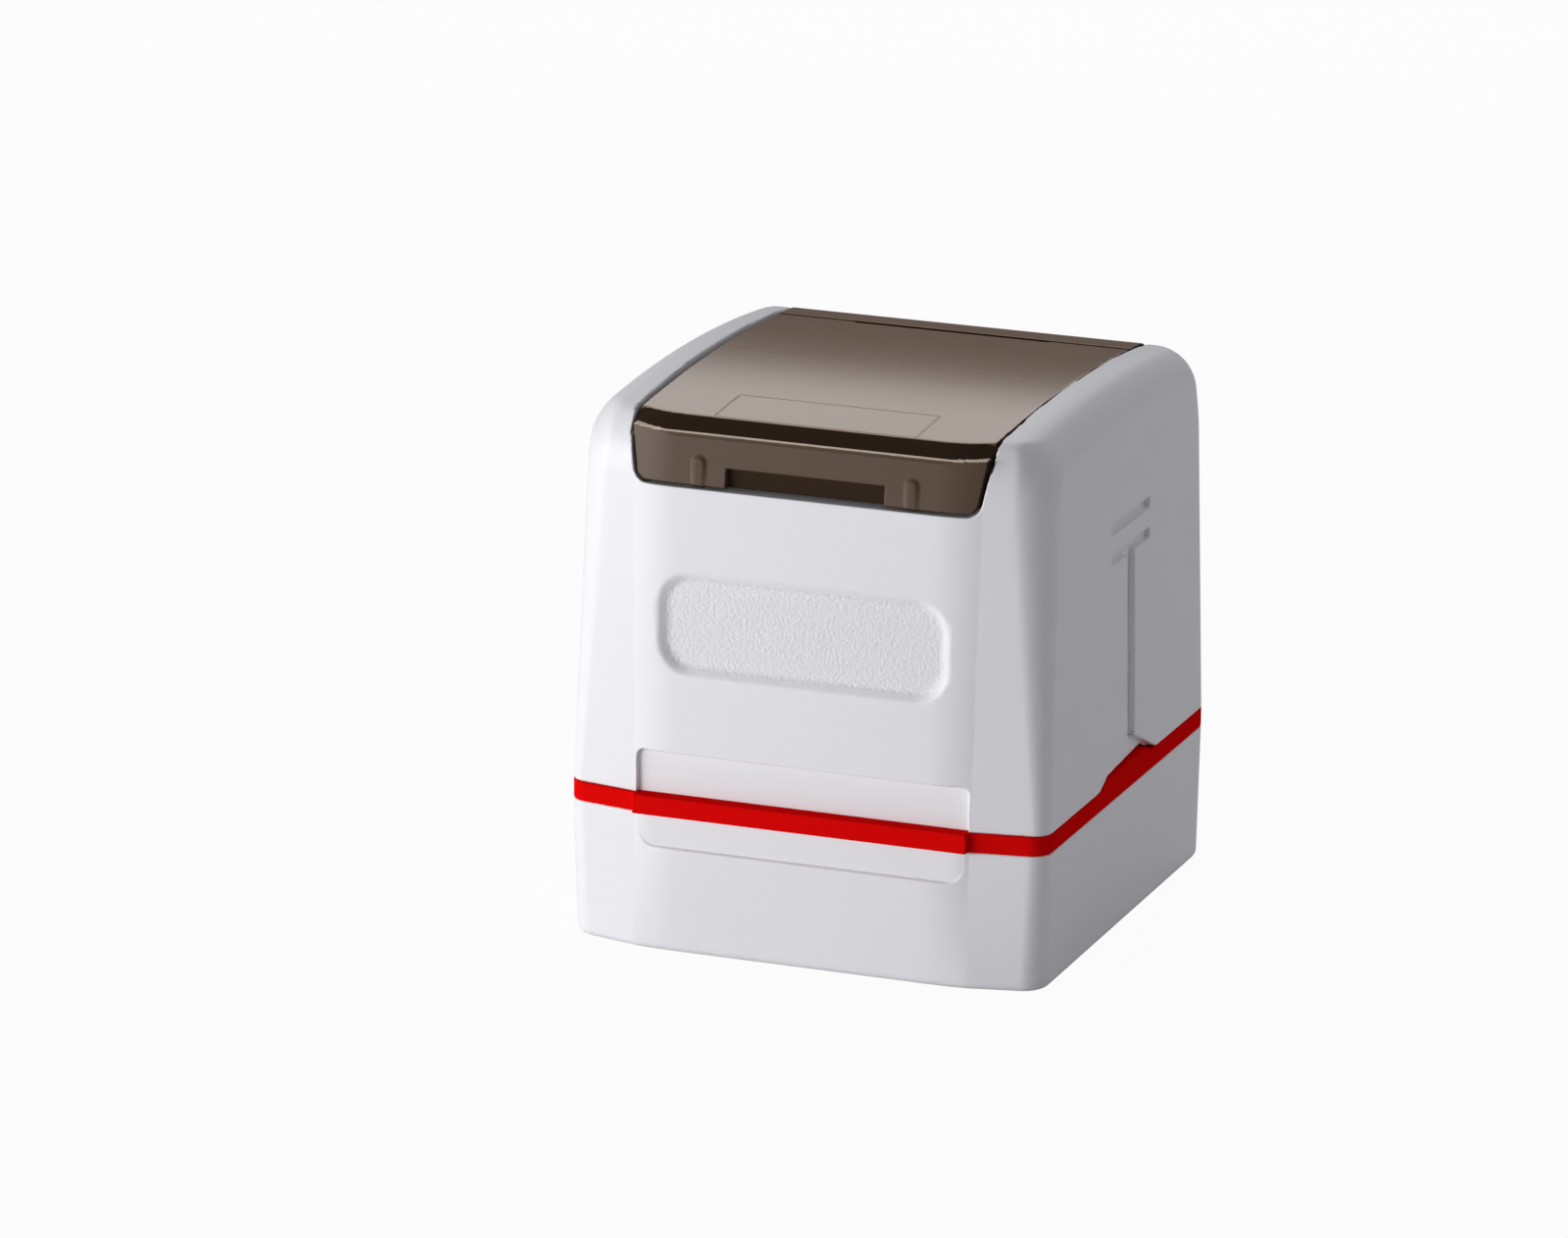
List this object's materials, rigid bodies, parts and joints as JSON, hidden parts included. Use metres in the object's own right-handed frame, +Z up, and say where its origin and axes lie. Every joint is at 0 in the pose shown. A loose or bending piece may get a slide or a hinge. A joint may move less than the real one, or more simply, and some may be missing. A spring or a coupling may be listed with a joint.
{
  "type": "pre-inked stamp",
  "caption": "Square self-contained hand stamp with a flip-up smoked window lid, a red retaining ring, a sprung skirt round a pre-inked die, and a pull-off dust cap.",
  "frame": {"origin": "middle of the bounding box at the dust cap's underside, on the table", "axes": "+Z up, front with the name-plate recess towards -Y, +X to the right seen from the front"},
  "size_m": [0.05, 0.052, 0.0554],
  "materials": {
    "white_plastic": "satin moulded",
    "red_plastic": "polished moulded",
    "smoked_plastic": "clear smoked, polished",
    "grey_plastic": "moulded",
    "dark_plastic": "moulded",
    "label_paper": "plain card",
    "ink_foam": "inked foam",
    "die_foam": "fine-pored",
    "spring_steel": "bright"
  },
  "bodies": {
    "cap": {"dust_cap": "white_plastic"},
    "handle": {"handle_shell": "white_plastic", "retaining_ring": "red_plastic", "mount_core": "grey_plastic", "index_label": "label_paper", "core_screw_1": "spring_steel", "core_screw_2": "spring_steel", "core_screw_3": "spring_steel", "core_screw_4": "spring_steel", "die_holder": "dark_plastic", "holder_screw_1": "spring_steel", "holder_screw_2": "spring_steel", "ink_pad": "ink_foam", "stamp_die": "die_foam", "die_clamp": "dark_plastic", "return_spring_1": "spring_steel", "return_spring_2": "spring_steel", "return_spring_3": "spring_steel", "return_spring_4": "spring_steel"},
    "skirt": {"skirt_frame": "grey_plastic"},
    "lid": {"window_lid": "smoked_plastic"}
  },
  "joints": [
    {"name": "cap_release", "type": "slide", "parent": "cap", "child": "handle", "axis": [0, 0, 1], "range_m": [0, 0.03]},
    {"name": "press", "type": "slide", "parent": "handle", "child": "skirt", "axis": [0, 0, 1], "range_m": [0, 0.0035], "stiffness_N_per_m": 2900, "springref_m": -0.002, "deforming": ["return_spring_1", "return_spring_2", "return_spring_3", "return_spring_4"]},
    {"name": "lid_hinge", "type": "hinge", "parent": "handle", "child": "lid", "pos_m": [0, 0.0199, 0.05196], "axis": [-1, 0, 0], "range_deg": [0, 100]}
  ]
}
